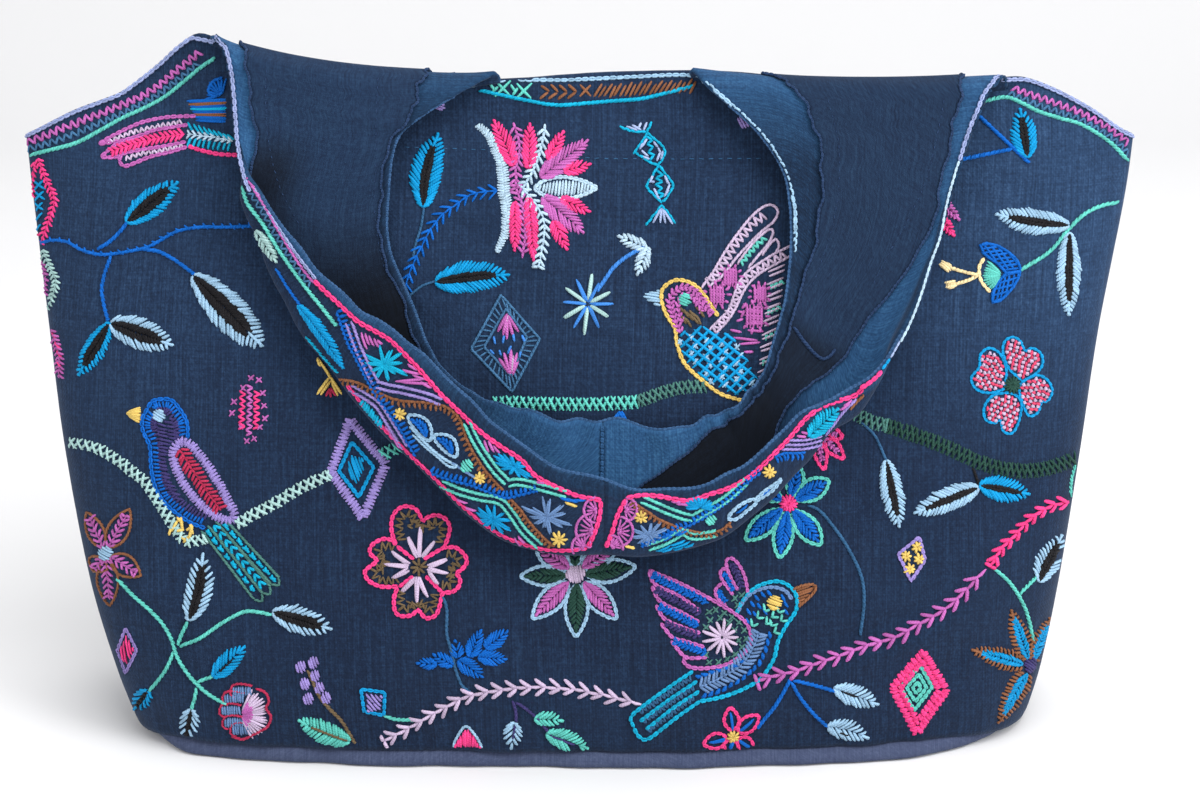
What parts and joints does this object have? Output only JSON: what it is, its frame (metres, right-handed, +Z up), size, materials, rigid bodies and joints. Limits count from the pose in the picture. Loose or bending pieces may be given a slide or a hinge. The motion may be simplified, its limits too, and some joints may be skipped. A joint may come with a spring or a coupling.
{
  "type": "embroidered cloth tote bag",
  "caption": "Soft boxed-bottom tote of dark blue woven cotton with folk embroidery of birds, leaves and flowers, standing open on its base with wide strap handles flopped over the rim.",
  "frame": {"origin": "on the floor under the middle of the whole outline", "axes": "+Z up, the embroidered front faces -Y, +X to the right as the front is looked at"},
  "size_m": [0.4846, 0.177, 0.3139],
  "materials": {
    "indigo_cloth": "matt hand-woven cotton, dark indigo with lighter slubs",
    "lining_cloth": "matt fine cotton, very dark navy",
    "base_cloth": "matt plain cotton, slate navy",
    "embroidery_thread": "soft twisted cotton thread in many colours"
  },
  "bodies": {
    "root": {"front_panel": "indigo_cloth", "back_panel": "indigo_cloth", "base_panel": "base_cloth", "base_edge": "base_cloth", "front_handle_left": "indigo_cloth", "front_handle_right": "indigo_cloth", "front_lining_left": "lining_cloth", "front_lining_right": "lining_cloth", "back_handle_left": "indigo_cloth", "back_handle_right": "indigo_cloth"}
  },
  "joints": []
}
